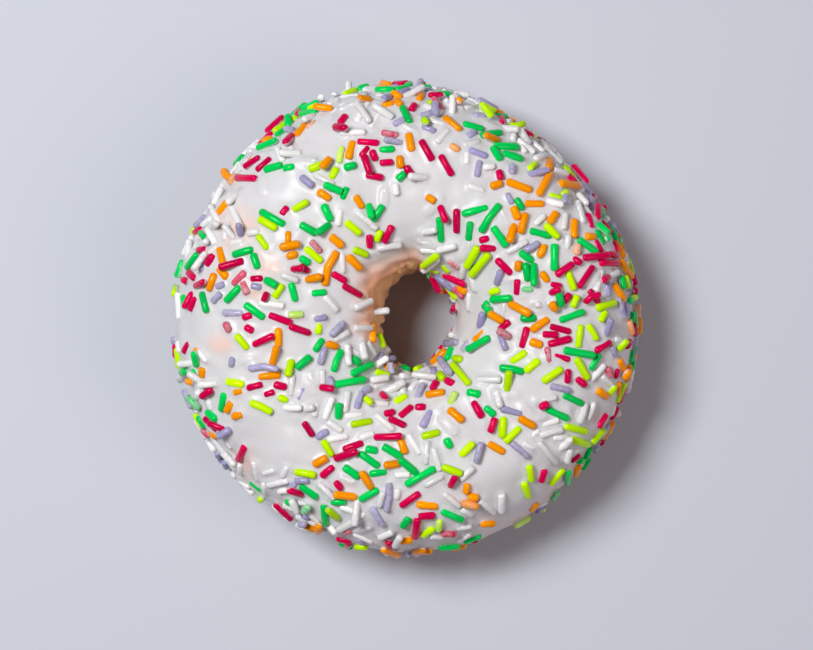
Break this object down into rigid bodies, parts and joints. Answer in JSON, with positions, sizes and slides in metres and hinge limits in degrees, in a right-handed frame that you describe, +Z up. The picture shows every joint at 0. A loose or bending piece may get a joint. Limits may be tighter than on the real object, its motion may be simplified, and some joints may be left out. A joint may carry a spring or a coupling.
{
  "type": "iced ring doughnut",
  "caption": "Ring doughnut of fried yeast dough with an oval hole, white icing over its top and sides, and coloured sugar strands; rests on its flat underside.",
  "frame": {"origin": "centre of the doughnut's outline, on the plane that it rests on", "axes": "+Z up through the hole; +Y towards the top of the view from above, along which the oval hole is long; +X to the right of that view"},
  "size_m": [0.0916, 0.0928, 0.0333],
  "materials": {
    "dough": "matte",
    "icing": "gloss",
    "strand_white": "gloss",
    "strand_green": "gloss",
    "strand_lime": "gloss",
    "strand_orange": "gloss",
    "strand_crimson": "gloss",
    "strand_lavender": "gloss"
  },
  "bodies": {
    "root": {"dough": "dough", "icing": "icing"}
  },
  "joints": []
}
